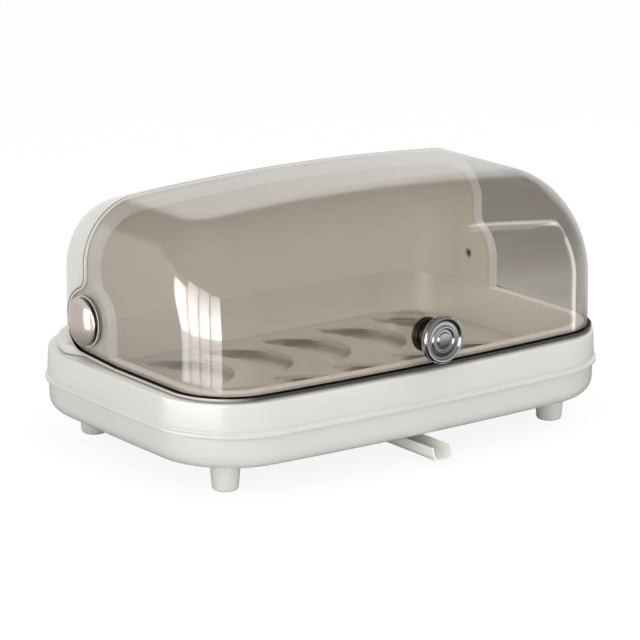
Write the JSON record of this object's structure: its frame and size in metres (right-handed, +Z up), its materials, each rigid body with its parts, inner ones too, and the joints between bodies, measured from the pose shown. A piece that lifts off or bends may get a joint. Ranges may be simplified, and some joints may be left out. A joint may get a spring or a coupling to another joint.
{
  "type": "dish storage box",
  "caption": "Countertop dish box: rounded base on feet, drip tray with drain rack, fixed rear cover, smoked flip lid with round knob and a pull-out drain spout.",
  "frame": {"origin": "on the floor under the middle of the bounding box", "axes": "+Z up, -Y towards the knob side where the lid opens, +X to the right along the long side"},
  "size_m": [0.45, 0.324, 0.224],
  "materials": {
    "ivory_abs": "satin gloss",
    "beige_pp": "satin",
    "smoked_styrene": "clear, smoked, glossy",
    "satin_chrome": "plated, satin",
    "black_nylon": "moulded",
    "natural_nylon": "moulded",
    "zinc_steel": "zinc plated"
  },
  "bodies": {
    "base": {"base_pan": "ivory_abs", "base_frame": "ivory_abs", "drip_tray": "beige_pp", "rear_cover": "ivory_abs", "rear_liner": "beige_pp", "pivot_bush_left": "natural_nylon", "pivot_bush_right": "natural_nylon", "pivot_washer_left": "black_nylon", "pivot_washer_right": "black_nylon", "pivot_cap_left": "satin_chrome", "pivot_cap_right": "satin_chrome", "pivot_screw_left": "zinc_steel", "pivot_screw_right": "zinc_steel", "foot_front_left": "ivory_abs", "foot_front_right": "ivory_abs", "foot_rear_left": "ivory_abs", "foot_rear_right": "ivory_abs", "foot_screw_front_left": "zinc_steel", "foot_screw_front_right": "zinc_steel", "foot_screw_rear_left": "zinc_steel", "foot_screw_rear_right": "zinc_steel", "spout_guide": "ivory_abs", "guide_screw_left": "zinc_steel", "guide_screw_right": "zinc_steel", "cover_screw_left": "zinc_steel", "cover_screw_right": "zinc_steel"},
    "flip_lid": {"lid": "smoked_styrene", "knob_head": "satin_chrome", "knob_collar": "black_nylon", "knob_washer": "black_nylon", "knob_screw": "zinc_steel"},
    "rack": {"drain_rack": "beige_pp"},
    "pull_spout": {"spout": "ivory_abs"}
  },
  "joints": [
    {"name": "lid_hinge", "type": "hinge", "parent": "base", "child": "flip_lid", "pos_m": [0, 0.05705, 0.1161], "axis": [-1, 0, 0], "range_deg": [0, 100]},
    {"name": "rack_lift", "type": "slide", "parent": "base", "child": "rack", "axis": [0, 0, 1], "range_m": [0, 0.06]},
    {"name": "spout_slide", "type": "slide", "parent": "base", "child": "pull_spout", "axis": [0, 1, 0], "range_m": [0, 0.042]}
  ]
}
